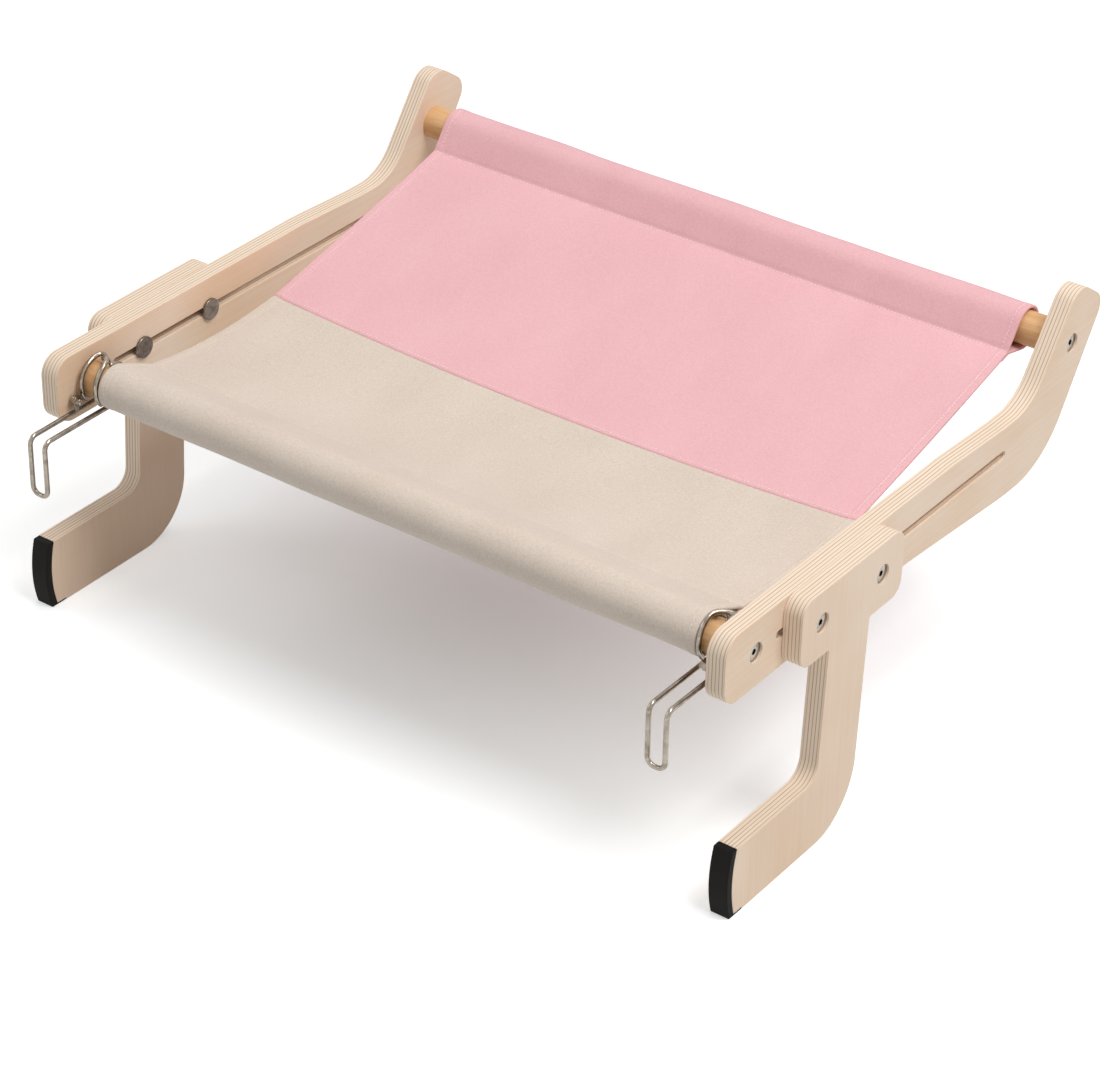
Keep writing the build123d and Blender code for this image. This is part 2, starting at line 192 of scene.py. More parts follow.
# Each lamp is a soft square: its place and width in metres, and its watts.
lamps = {
    "high_right": ((1.7, 0.2, 3.1), 1.6, 74.0),
    "overhead": ((-0.3, 0.9, 3.0), 1.6, 20.0),
    "left": ((-2.6, -1.2, 1.6), 1.4, 13.0),
}
aim = Vector((0.0, 0.22, 0.0))
for name, (place, width, watts) in lamps.items():
    lamp_data = bpy.data.lights.new(name, "AREA")
    lamp_data.size = width
    lamp_data.energy = watts
    lamp = bpy.data.objects.new(name, lamp_data)
    lamp.location = place
    lamp.rotation_euler = (aim - Vector(place)).to_track_quat("-Z", "Y").to_euler()
    bpy.context.scene.collection.objects.link(lamp)


# Side rails: two boards of 15 mm birch plywood, cut to a dog-leg outline with a long slot and
# screwed to the dowels' ends. Every edge is sanded round, and the eleven plies show as pale
# and tan stripes along the cut edges.
rail_inner_x = 280.0 * mm
board_thickness = 15.0 * mm
ply_count = 11.0
board_rounding = 1.3 * mm
board_steps = 3
merge_step = 0.002 * mm
crisp_angle = radians(33)
rounded_angle = radians(40)
flat_angle = radians(0.5)


def new_finish(name):
    """A material with one surface shader, its node tree and that shader."""
    material = bpy.data.materials.new(name)
    tree = empty_tree(material)
    shader = tree.nodes.new("ShaderNodeBsdfPrincipled")
    add(tree, "OutputMaterial", {"Surface": shader.outputs[0]})
    return material, tree, shader


def round_edges(piece, width, steps):
    """Every sharp edge of the piece becomes a round of that width, in that many steps."""
    piece.data.set_sharp_from_angle(angle=crisp_angle)
    bevel = piece.modifiers.new("rounded_edges", "BEVEL")
    bevel.width = width
    bevel.segments = steps
    bevel.limit_method = "ANGLE"
    bevel.angle_limit = rounded_angle
    bevel.harden_normals = True


def finished_copy(node, name, material, rounding, steps):
    """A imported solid's own shape with its edges rounded: equal points are merged, triangles
    left with no area are dropped, and flat faces are joined first."""
    source = frame["nodes"][node].data
    points = np.empty(len(source.vertices) * 3, np.float32)
    source.vertices.foreach_get("co", points)
    points = points.reshape(-1, 3)
    source.calc_loop_triangles()
    triangles = np.empty(len(source.loop_triangles) * 3, np.int32)
    source.loop_triangles.foreach_get("vertices", triangles)
    _, first, index = np.unique(
        np.round(points / merge_step), axis=0, return_index=True, return_inverse=True)
    faces = index.ravel()[triangles].reshape(-1, 3)
    a, b, c = faces.T
    faces = faces[(a != b) & (b != c) & (c != a)]
    piece = place_mesh(name, points[first], faces.tolist(), material)
    work = bmesh.new()
    work.from_mesh(piece.data)
    bmesh.ops.dissolve_limit(work, angle_limit=flat_angle, verts=work.verts, edges=work.edges)
    work.to_mesh(piece.data)
    work.free()
    piece.data.shade_smooth()
    round_edges(piece, rounding, steps)
    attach(piece, frame["nodes"][node]["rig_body"])
    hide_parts(node)
    return piece


def birch_plywood(name, inner_x, figure_grain, light, deep):
    """Birch plywood, rotary-cut veneers glued crosswise, sanded and matt lacquered. The eye
    sees cream faces, faintly clouded, and cut edges of pale plies with a thinner tan one
    between each. The depth in plies is |x| less inner_x, over the board's thickness, times
    their number. The stripe is the sine of pi times that depth, and within about half a ply of
    either side the face shows instead."""
    material, tree, shader = new_finish(name)
    place = add(tree, "TexCoord")["Object"]
    axes = add(tree, "SeparateXYZ", {0: place})
    depth = add(tree, "Math", {0: axes["X"]}, operation="ABSOLUTE")
    plies = add(tree, "MapRange", {
        "Value": depth[0], "From Min": inner_x, "From Max": inner_x + board_thickness,
        "To Max": ply_count,
    }, clamp=False)
    # The glue lines wander by a quarter of a ply over about 45 mm: 22 waves a metre.
    drift = add(tree, "TexNoise", {"Vector": place, "Scale": 22.0, "Detail": 1.0})
    plies = add(tree, "Math", {0: drift["Fac"], 1: 0.5, 2: plies[0]}, operation="MULTIPLY_ADD")
    plies = add(tree, "Math", {0: plies[0], 1: 0.25}, operation="SUBTRACT")
    plies = add(tree, "Math", {0: plies[0], 1: ply_count - 0.4}, operation="MINIMUM")
    plies = add(tree, "Math", {0: plies[0], 1: 0.4}, operation="MAXIMUM")
    turn = add(tree, "Math", {0: plies[0], 1: pi}, operation="MULTIPLY")
    stripe = add(tree, "Math", {0: turn[0]}, operation="SINE")
    ply_number = add(tree, "Math", {0: plies[0]}, operation="FLOOR")
    ply_own = add(tree, "TexWhiteNoise", {"W": ply_number[0]}, noise_dimensions="1D")
    strength = add(tree, "MapRange", {"Value": ply_own["Value"], "To Min": 0.4, "To Max": 1.0})
    cross = add(tree, "MapRange", {
        "Value": stripe[0], "From Min": -0.5, "From Max": -0.97, "To Max": strength[0],
    }, interpolation_type="SMOOTHSTEP")
    # Cut fibres on the edges: 0.4 mm thick and about 60 mm long.
    fine = add(tree, "Mapping", {"Vector": place, "Scale": (2600.0, 16.0, 16.0)})
    fibres = add(tree, "TexNoise", {"Vector": fine[0], "Scale": 1.0, "Detail": 3.0})
    fibre_at = add(tree, "MapRange", {
        "Value": fibres["Fac"], "From Min": 0.45, "From Max": 0.75, "To Max": 0.4,
    })
    pale = add(tree, "Mix", {
        0: fibre_at[0], 6: shade("#f5e3cf"), 7: shade("#dfbf9c"),
    }, data_type="RGBA")
    tan = add(tree, "Mix", {
        0: fibres["Fac"], 6: shade("#a87a4e"), 7: shade("#c2966a"),
    }, data_type="RGBA")
    edge = add(tree, "Mix", {0: cross[0], 6: pale[2], 7: tan[2]}, data_type="RGBA")
    # The face's figure follows the grain it is given, and its clouds are 110 mm across.
    long = add(tree, "Mapping", {"Vector": place, "Scale": figure_grain})
    figure = add(tree, "TexNoise", {
        "Vector": long[0], "Scale": 1.0, "Detail": 4.0, "Roughness": 0.55,
    })
    cloud = add(tree, "TexNoise", {"Vector": place, "Scale": 9.0, "Detail": 2.0})
    figure_at = add(tree, "Math", {0: figure["Fac"], 1: 0.3}, operation="MULTIPLY")
    figure_at = add(tree, "Math", {
        0: cloud["Fac"], 1: 0.7, 2: figure_at[0],
    }, operation="MULTIPLY_ADD")
    figure_at = add(tree, "MapRange", {"Value": figure_at[0], "From Min": 0.36, "From Max": 0.64})
    face = add(tree, "Mix", {0: figure_at[0], 6: shade(light), 7: shade(deep)}, data_type="RGBA")
    middle = add(tree, "Math", {0: plies[0], 1: ply_count / 2}, operation="SUBTRACT")
    middle = add(tree, "Math", {0: middle[0]}, operation="ABSOLUTE")
    on_face = add(tree, "MapRange", {
        "Value": middle[0], "From Min": ply_count / 2 - 0.65, "From Max": ply_count / 2 - 0.42,
    })
    wood = add(tree, "Mix", {0: on_face[0], 6: edge[2], 7: face[2]}, data_type="RGBA")
    tree.links.new(wood[2], shader.inputs["Base Color"])
    rough = add(tree, "MapRange", {"Value": figure["Fac"], "To Min": 0.48, "To Max": 0.62})
    tree.links.new(rough[0], shader.inputs["Roughness"])
    relief = add(tree, "Bump", {"Height": figure["Fac"], "Strength": 0.12, "Distance": 0.2 * mm})
    tree.links.new(relief[0], shader.inputs["Normal"])
    shader.inputs["IOR"].default_value = 1.5
    shader.inputs["Specular IOR Level"].default_value = 0.3
    return material


# The rails' figure runs along them: 25 mm deep, 80 mm long and 2 mm wide.
rail_grain = (40.0, 12.0, 520.0)
rail_plywood = birch_plywood(
    "birch_plywood_rail", rail_inner_x, rail_grain, "#f6dfc9", "#edccac")
for side in ("left", "right"):
    finished_copy(
        f"{side}_side_rail", f"{side}_rail_board", rail_plywood,
        board_rounding, board_steps)


# Legs: one board a side of the same birch plywood, with its figure running down the post.
# Each slides back and forth against its rail on two bolts through the slot.
leg_inner_x = 295.2 * mm
leg_grain = (40.0, 520.0, 12.0)
leg_plywood = birch_plywood("birch_plywood_leg", leg_inner_x, leg_grain, "#f6dfc9", "#eed1b6")
for side in ("left", "right"):
    finished_copy(
        f"{side}_leg_board", f"{side}_leg_plate", leg_plywood,
        board_rounding, board_steps)


# Foot pads: natural rubber moulded to the foot's bowed end, near black and matt.
# They keep the feet from slipping on the board or the wall that they bear on.
pad_rounding = 0.7 * mm


def moulded_rubber():
    """Moulded black rubber: the eye sees a soft sheen broken by a fine pebble and a grey
    bloom. The bloom's clouds are 11 mm across and the pebbles 0.9 mm."""
    material, tree, shader = new_finish("moulded_rubber")
    place = add(tree, "TexCoord")["Object"]
    bloom = add(tree, "TexNoise", {"Vector": place, "Scale": 90.0, "Detail": 4.0})
    tone = add(tree, "Mix", {
        0: bloom["Fac"], 6: shade("#0d0b0a"), 7: shade("#161311"),
    }, data_type="RGBA")
    tree.links.new(tone[2], shader.inputs["Base Color"])
    pebble = add(tree, "TexNoise", {"Vector": place, "Scale": 1100.0, "Detail": 2.0})
    relief = add(tree, "Bump", {"Height": pebble["Fac"], "Strength": 0.35, "Distance": 0.15 * mm})
    tree.links.new(relief[0], shader.inputs["Normal"])
    shader.inputs["Roughness"].default_value = 0.75
    shader.inputs["IOR"].default_value = 1.45
    shader.inputs["Specular IOR Level"].default_value = 0.2
    return material


rubber = moulded_rubber()
for side in ("left", "right"):
    finished_copy(
        f"{side}_foot_pad", f"{side}_rubber_pad", rubber, pad_rounding, 3)


# Dowels: two 25.4 mm turned rods of a warmer wood, sanded and left bare.
# Each is screwed endwise between the rails and carries one sleeve of the sling.
dowel_rounding = 0.4 * mm


def turned_wood():
    """Bare turned beech: the eye sees a honey tan with straight fibres, 2 mm wide and 70 mm
    long, and short dark flecks along the rod, 0.7 mm wide and 8 mm long."""
    material, tree, shader = new_finish("turned_beech")
    place = add(tree, "TexCoord")["Object"]
    long = add(tree, "Mapping", {"Vector": place, "Scale": (14.0, 480.0, 480.0)})
    fibres = add(tree, "TexNoise", {
        "Vector": long[0], "Scale": 1.0, "Detail": 5.0, "Roughness": 0.6,
    })
    fibre_at = add(tree, "MapRange", {"Value": fibres["Fac"], "From Min": 0.3, "From Max": 0.7})
    tone = add(tree, "Mix", {
        0: fibre_at[0], 6: shade("#ebbe8c"), 7: shade("#d6a670"),
    }, data_type="RGBA")
    short = add(tree, "Mapping", {"Vector": place, "Scale": (120.0, 1500.0, 1500.0)})
    flecks = add(tree, "TexNoise", {"Vector": short[0], "Scale": 1.0, "Detail": 1.0})
    fleck_at = add(tree, "MapRange", {
        "Value": flecks["Fac"], "From Min": 0.62, "From Max": 0.72, "To Max": 0.35,
    })
    tone = add(tree, "Mix", {0: fleck_at[0], 6: tone[2], 7: shade("#b27f4a")}, data_type="RGBA")
    tree.links.new(tone[2], shader.inputs["Base Color"])
    relief = add(tree, "Bump", {"Height": fibres["Fac"], "Strength": 0.2, "Distance": 0.2 * mm})
    tree.links.new(relief[0], shader.inputs["Normal"])
    shader.inputs["Roughness"].default_value = 0.55
    shader.inputs["IOR"].default_value = 1.5
    return material


beech = turned_wood()
for end in ("front", "rear"):
    finished_copy(f"{end}_dowel", f"{end}_rod", beech, dowel_rounding, 3)


# Dowel screws, sleeve nuts and leg bolts: steel, bright nickel plated, let into 14.6 mm
# recesses. The bolts' flat round heads show inside the rails; the threaded inserts sit in the
# dowels' ends.
fastener_rounding = 0.25 * mm
head_rounding = 0.5 * mm


def nickel_plate(name, bright, dull, roughness):
    """Nickel-plated steel: the eye sees a warm grey mirror, slightly hazed by handling and
    plating grain, in patches about 6 mm across."""
    material, tree, shader = new_finish(name)
    place = add(tree, "TexCoord")["Object"]
    haze = add(tree, "TexNoise", {
        "Vector": place, "Scale": 170.0, "Detail": 4.0, "Roughness": 0.6,
    })
    haze_at = add(tree, "MapRange", {"Value": haze["Fac"], "From Min": 0.36, "From Max": 0.66})
    rough = add(tree, "MapRange", {
        "Value": haze_at[0], "To Min": roughness - 0.05, "To Max": roughness + 0.09,
    })
    tree.links.new(rough[0], shader.inputs["Roughness"])
    tone = add(tree, "Mix", {0: haze_at[0], 6: shade(bright), 7: shade(dull)}, data_type="RGBA")
    tree.links.new(tone[2], shader.inputs["Base Color"])
    shader.inputs["Metallic"].default_value = 1.0
    return material


nickel = nickel_plate("nickel_plated_steel", "#b2aaa1", "#8a8278", 0.18)
dull_nickel = nickel_plate("nickel_plated_bolt", "#91877c", "#6c6359", 0.24)
# Painted shade: a dark steel for the sockets' walls and floors, where the deep recess lies in
# shade.
painted_socket_shade = nickel_plate("painted_socket_shade_steel", "#3a3531", "#24201d", 0.42)
inserts = frame["nodes"]["dowel_inserts"].data
inserts.materials.clear()
inserts.materials.append(nickel)
heads = [finished_copy(
    "dowel_screws", "dowel_screw_heads", nickel, fastener_rounding, 2)]
for side in ("left", "right"):
    heads.append(finished_copy(
        f"{side}_leg_nuts", f"{side}_sleeve_nuts", nickel,
        fastener_rounding, 2))
    finished_copy(
        f"{side}_leg_bolts", f"{side}_slot_bolts", dull_nickel,
        head_rounding, 3)

# The hexagonal sockets' walls and floors are painted dark: painted shade for the deep recess. A
# face is in a socket when it lies near a screw's axis, and between the flange's outer face and the
# floor.
socket_axes = np.array([(44.0, 18.7), (442.0, 69.7), (99.0, 18.7), (172.5, 18.7)]) * mm
socket_reach = 2.5 * mm
flange_faces = (293.2 * mm, 308.4 * mm)
socket_mouth = 0.2 * mm
socket_depth = 1.6 * mm
socket_slack = 0.1 * mm
for head in heads:
    head.data.materials.append(painted_socket_shade)
    middles = np.empty(len(head.data.polygons) * 3, np.float32)
    head.data.polygons.foreach_get("center", middles)
    middles = middles.reshape(-1, 3)
    away = np.linalg.norm(middles[:, None, 1:] - socket_axes[None], axis=-1).min(axis=1)
    below = np.stack([face_x - np.abs(middles[:, 0]) for face_x in flange_faces])
    sunk = ((below > socket_mouth) & (below < socket_depth + socket_slack)).any(axis=0)
    inside = (away < socket_reach) & sunk
    head.data.polygons.foreach_set("material_index", inside.astype(np.int32))


# Hooks: 3.7 mm spring wire, bent cold and nickel plated, one hook a side.
# Two rings ride on the front dowel, two arms reach over the board's edge, and a small screw
# through two flattened lugs closes the rail-side ring.
wire_radius = 1.85 * mm
wire_sides = 16
wire_step = 0.8 * mm
dowel_y = 44.0 * mm
dowel_z = 18.7 * mm
rail_ring_x = 275.2 * mm
sleeve_ring_x = 261.2 * mm
ring_radius = 16.7 * mm
tucked_radius = 15.4 * mm
front_radius = 16.1 * mm
bridge_radius = 19.7 * mm
ring_points = 61
ring_end_angle = 225.0
arm_angle = -90.0
rail_tail_angle, sleeve_tail_angle = 56.0, 84.0
rail_bridge_angle, sleeve_bridge_angle = 66.0, 94.0
bridge_softness = 16
reach_y = -26.4 * mm
tip_z = -43.0 * mm
arm_bend = 6.0 * mm
clamp_y = dowel_y - 22.5 * mm
clamp_z = dowel_z - 8.0 * mm
lug_radius = 3.3 * mm
lug_tail_radius = 1.4 * mm
lug_thickness = 1.6 * mm
lug_gap = 0.2 * mm
lug_rounding = 0.35 * mm
cap_nut_rounding = 0.45 * mm


def rounded_run(points, radius):
    """A broken line whose corners are arcs: each arc starts and ends one tangent length from
    its corner, and its centre lies radius / sin(half the corner's angle) from it."""
    points = np.asarray(points, float)
    parts = [points[:1]]
    for before, corner, after in zip(points[:-2], points[1:-1], points[2:]):
        a = (before - corner) / np.linalg.norm(before - corner)
        b = (after - corner) / np.linalg.norm(after - corner)
        half = np.arccos(np.clip(a @ b, -1, 1)) / 2
        middle = (a + b) / np.linalg.norm(a + b)
        centre = corner + middle * radius / np.sin(half)
        sweep = np.linspace(-1, 1, 15)[:, None] * (pi / 2 - half)
        across = (b - a) / np.linalg.norm(b - a)
        parts.append(centre - middle * radius * np.cos(sweep) + across * radius * np.sin(sweep))
    parts.append(points[-1:])
    return np.concatenate(parts)


def length_along(points):
    """The length run from the line's start to each of its points."""
    return np.concatenate([[0], np.cumsum(np.linalg.norm(np.diff(points, axis=0), axis=1))])


def even_steps(points, step):
    """The same broken line with its points an equal length apart."""
    along = length_along(points)
    at = np.linspace(0, along[-1], int(round(along[-1] / step)) + 1)
    return np.stack([np.interp(at, along, column) for column in points.T], axis=1)


def softened(path, reach):
    """The path with each point moved to the bell-weighted mean of its neighbours within reach;
    its ends stay."""
    padded = np.concatenate([np.repeat(path[:1], reach, 0), path, np.repeat(path[-1:], reach, 0)])
    window = np.hanning(2 * reach + 3)[1:-1]
    window /= window.sum()
    mean = np.stack([np.convolve(column, window, "valid") for column in padded.T], axis=1)
    place = np.arange(len(path))
    keep = np.clip(np.minimum(place, place[::-1]) / reach, 0, 1)[:, None]
    return path + (mean - path) * keep


def wire_tube(path):
    """A round wire: a circle carried along the path, square to it, its ends domed.
    Each point is path + radius * (cos a * side + sin a * up); side is square to the path and
    to one slanting line that no stretch of the path runs along."""
    slant = (0.31, 0.52, 0.79)
    dome = np.array([0.0, 0.5, 0.8, 0.95])
    caps = len(dome)
    ahead = np.gradient(path, axis=0)
    ahead /= np.linalg.norm(ahead, axis=1)[:, None]
    side = np.cross(ahead, slant)
    side /= np.linalg.norm(side, axis=1)[:, None]
    up = np.cross(ahead, side)
    start = path[:1] - ahead[:1] * wire_radius * np.sqrt(1 - dome**2)[:, None]
    end = path[-1:] + ahead[-1:] * wire_radius * np.sqrt(1 - dome[::-1]**2)[:, None]
    middle = np.concatenate([start, path, end])
    side = np.concatenate([np.repeat(side[:1], caps, 0), side, np.repeat(side[-1:], caps, 0)])
    up = np.concatenate([np.repeat(up[:1], caps, 0), up, np.repeat(up[-1:], caps, 0)])
    size = np.concatenate([dome, np.ones(len(path)), dome[::-1]]) * wire_radius
    size[0] = size[-1] = 0.05 * wire_radius
    angle = np.arange(wire_sides) * 2 * pi / wire_sides
    ring = np.cos(angle)[None, :, None] * side[:, None] + np.sin(angle)[None, :, None] * up[:, None]
    return middle[:, None] + ring * size[:, None, None]


def grid_faces(rows, columns):
    """Quads of a grid of rows and columns whose last column joins the first."""
    row, column = np.meshgrid(np.arange(rows - 1), np.arange(columns), indexing="ij")
    a, b = row * columns + column, row * columns + (column + 1) % columns
    return np.stack([a, b, b + columns, a + columns], axis=-1).reshape(-1, 4)


def wire_piece(paths, name, material):
    """Several wires as one mesh: each tube's quads, and a face across each of its ends."""
    points, faces, count = [], [], 0
    around = np.arange(wire_sides)
    for path in paths:
        tube = wire_tube(path)
        rows = len(tube)
        points.append(tube.reshape(-1, 3))
        faces += (grid_faces(rows, wire_sides) + count).tolist()
        faces.append((around[::-1] + count).tolist())
        faces.append((around + count + (rows - 1) * wire_sides).tolist())
        count += rows * wire_sides
    return place_mesh(name, np.concatenate(points), faces, material)


def ring_line(x, start, end, first_radius, last_radius):
    """Points round the front dowel at one place across; 0 degrees is to the rear and 90 on
    top. The radius grows from its first value to its last with the square of the share run."""
    share = np.linspace(0, 1, ring_points)
    angle = np.radians(np.linspace(start, end, ring_points))
    radius = first_radius + (last_radius - first_radius) * share ** 2
    y, z = dowel_y + radius * np.cos(angle), dowel_z + radius * np.sin(angle)
    return np.stack([np.full_like(angle, x), y, z], axis=1)


def lug_outline(tail):
    """A drop outline round two circles, at the clamp and at its tail: each arc covers the side
    away from the other circle, and straight tangents join them."""
    big, small = np.array((clamp_y, clamp_z)), np.array(tail)
    apart = small - big
    heading = np.arctan2(apart[1], apart[0])
    open_angle = np.arccos((lug_radius - lug_tail_radius) / np.hypot(*apart))
    round_big = heading + np.linspace(open_angle, 2 * pi - open_angle, 25)
    round_small = heading + np.linspace(-open_angle, open_angle, 9)
    return np.concatenate([
        big + lug_radius * np.stack([np.cos(round_big), np.sin(round_big)], axis=1),
        small + lug_tail_radius * np.stack([np.cos(round_small), np.sin(round_small)], axis=1),
    ])


def lug_plate(name, outline, first_x, last_x, material):
    """A flat plate: the outline at two places across, with walls between."""
    count = len(outline)
    points = np.concatenate([
        np.column_stack([np.full(count, x), outline]) for x in sorted((first_x, last_x))])
    around = np.arange(count)
    after = (around + 1) % count
    walls = np.stack([around, after, after + count, around + count], axis=1).tolist()
    ends = [around[::-1].tolist(), (around + count).tolist()]
    plate = place_mesh(name, points, walls + ends, material)
    round_edges(plate, lug_rounding, 2)
    return plate


wire_nickel = nickel_plate("nickel_plated_wire", "#aba195", "#857b6f", 0.1)
arm_z = dowel_z - ring_radius
tip_angle = radians(ring_end_angle)
ring_tip = (dowel_y + front_radius * cos(tip_angle), dowel_z + front_radius * sin(tip_angle))
for side, sign in (("left", -1), ("right", 1)):
    rail_x, sleeve_x = sign * rail_ring_x, sign * sleeve_ring_x
    run = rounded_run([
        (rail_x, dowel_y, arm_z), (rail_x, reach_y, arm_z), (rail_x, reach_y, tip_z),
        (sleeve_x, reach_y, tip_z), (sleeve_x, reach_y, arm_z), (sleeve_x, dowel_y, arm_z),
    ], arm_bend)
    hanger = np.concatenate([
        ring_line(rail_x, arm_angle, rail_tail_angle, ring_radius, tucked_radius)[::-1][:-1],
        run,
        ring_line(sleeve_x, arm_angle, sleeve_tail_angle, ring_radius, tucked_radius)[1:],
    ])
    bridge = np.concatenate([
        ring_line(rail_x, ring_end_angle, rail_bridge_angle, front_radius, bridge_radius),
        ring_line(
            sleeve_x, ring_end_angle, sleeve_bridge_angle, front_radius, bridge_radius)[::-1],
    ])
    loop = softened(even_steps(bridge, wire_step), bridge_softness)
    wires = [even_steps(hanger, wire_step), even_steps(loop, wire_step)]
    hook = wire_piece(wires, f"{side}_spring_wire", wire_nickel)
    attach(hook, f"{side}_hook")
    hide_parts(f"{side}_hook_wire")
    for part, tail, low in (
        ("ring_lug", ring_tip, lug_gap / 2),
        ("arm_lug", (clamp_y, arm_z), -lug_gap / 2 - lug_thickness),
    ):
        lug = lug_plate(
            f"{side}_{part}", lug_outline(tail),
            rail_x + sign * low, rail_x + sign * (low + lug_thickness), wire_nickel)
        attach(lug, f"{side}_hook")
    finished_copy(
        f"{side}_hook_screw", f"{side}_clamp_screw", wire_nickel,
        fastener_rounding, 2)
    finished_copy(
        f"{side}_hook_nut", f"{side}_cap_nut", wire_nickel,
        cap_nut_rounding, 3)


# Seat: beige brushed cloth, hemmed at its sides, with a sleeve at its front end: the cloth
# goes round the front dowel, is turned under and sewn through. Its rear edge is tucked under
# the back's front edge and sewn to it. Lengths in this section and the next are in millimetres.
half_width = 258.6
cloth_thickness = 1.5
cloth_step = 1.6
sleeve_radius = 16.7
sleeve_tip = 1.5
hem_width = 7.2
hem_rise = 0.35
hem_under_rise = 0.55
# Each slow wave of the cloth is a length and a height.
slow_waves = ((170.0, 0.6), (95.0, 0.3), (52.0, 0.12))
stitch_inset = 5.6
stitch_pitch = 3.0
stitch_length = 1.9
thread_radius = 0.45
thread_flatness = 0.8
stitch_dent = 0.7
fold_reach = 9.0
pucker_height = 0.5
pucker_lengths = (41.0, 27.0, 17.0, 12.0)
dent_width = 1.7
groove_depth = 0.4
groove_width = 0.45
edge_bulge = 0.9
calm_start, calm_run = 12.0, 30.0
# Under each sleeve the cloth laps from 1 to 9 mm beyond the sewn line. Just before the seam
# the seat sinks by tuck_depth over tuck_run, and it ends seam_lap beyond it, under the back.
lap_start, lap_end = 1.0, 9.0
seam_lap = 8.0
tuck_start = 219.5
tuck_run = 4.0
tuck_depth = 1.9
front_centre = (44.0, 18.7)
front_stitch = (82.0, 18.1)
# Each station is a place along the sling, its side edges' height and its middle's sag.
seam = (222.0, 16.7, 9.0)
seat_stations = np.array([(82.0, 19.1, 0.0), (140.0, 12.7, 8.0), seam])
back_stations = np.array([seam, (318.0, 37.5, 7.0), (417.0, 61.3, 0.0)])


def through_three(stations, y, column):
    """The parabola through three stations' values, read at y."""
    return np.polyval(np.polyfit(stations[:, 0], stations[:, column], 2), y)


def sling_sag(y):
    """How far the sling's middle hangs below its sides at y: one parabola for the seat and one
    for the back, and none beyond their ends."""
    seat_sag = through_three(seat_stations, y, 2)
    back_sag = through_three(back_stations, y, 2)
    return np.maximum(np.where(y < seam[0], seat_sag, back_sag), 0)


def side_line(stations, start, end, count, drop=0.0):
    """The cloth in side view from one place to another, lowered by drop."""
    y = np.linspace(start, end, count)
    return np.stack([y, through_three(stations, y, 1) - drop], axis=1)


def run_length(path):
    """The whole length of a broken line."""
    return np.linalg.norm(np.diff(path, axis=0), axis=1).sum()


def arc_points(centre, radius, start, end):
    """Points every 4 degrees on an arc, angles in degrees."""
    angle = np.radians(np.linspace(start, end, max(3, int(abs(end - start) / 4))))
    y, z = centre[0] + radius * np.cos(angle), centre[1] + radius * np.sin(angle)
    return np.stack([y, z], axis=1)


def sleeve_path(centre, stitch):
    """The outside of a sleeve in side view: tip, straight run, round the dowel, straight run,
    tip. The runs are tangents to the dowel's round and to the small round at the stitch."""
    apart = np.array(stitch) - np.array(centre)
    heading = np.degrees(np.arctan2(apart[1], apart[0]))
    open_angle = np.degrees(np.arccos((sleeve_radius - sleeve_tip) / np.hypot(*apart)))
    if apart[0] > 0:
        start, end = heading - open_angle, heading + open_angle - 360
    else:
        start, end = (heading - open_angle) % 360, (heading + open_angle) % 360 - 360
    around = arc_points(centre, sleeve_radius, start, end)
    tips = np.concatenate([
        arc_points(stitch, sleeve_tip, angle, angle + 0.1)[:1] for angle in (start, end)])
    return np.concatenate([tips[:1], around, tips[1:]])


def across_stations():
    """Places across one side of the sling, from its edge to its middle: close in the hem,
    wider in the field."""
    hem = np.array([
        0.9, 1.8, 3.2, 4.4, 5.0, 5.3, 5.6, 5.9, 6.2, 6.8, 7.2, 7.6, 8.4, 9.8, 12.0, 14.5])
    field = np.linspace(18.0, half_width, 61)
    return half_width - np.concatenate([hem, field])


def grid_normals(grid):
    """The unit normal at each point of a grid: its step across crossed with its step along."""
    run, across = np.gradient(grid, axis=0), np.gradient(grid, axis=1)
    out = np.cross(across, run)
    return out / np.linalg.norm(out, axis=-1, keepdims=True)


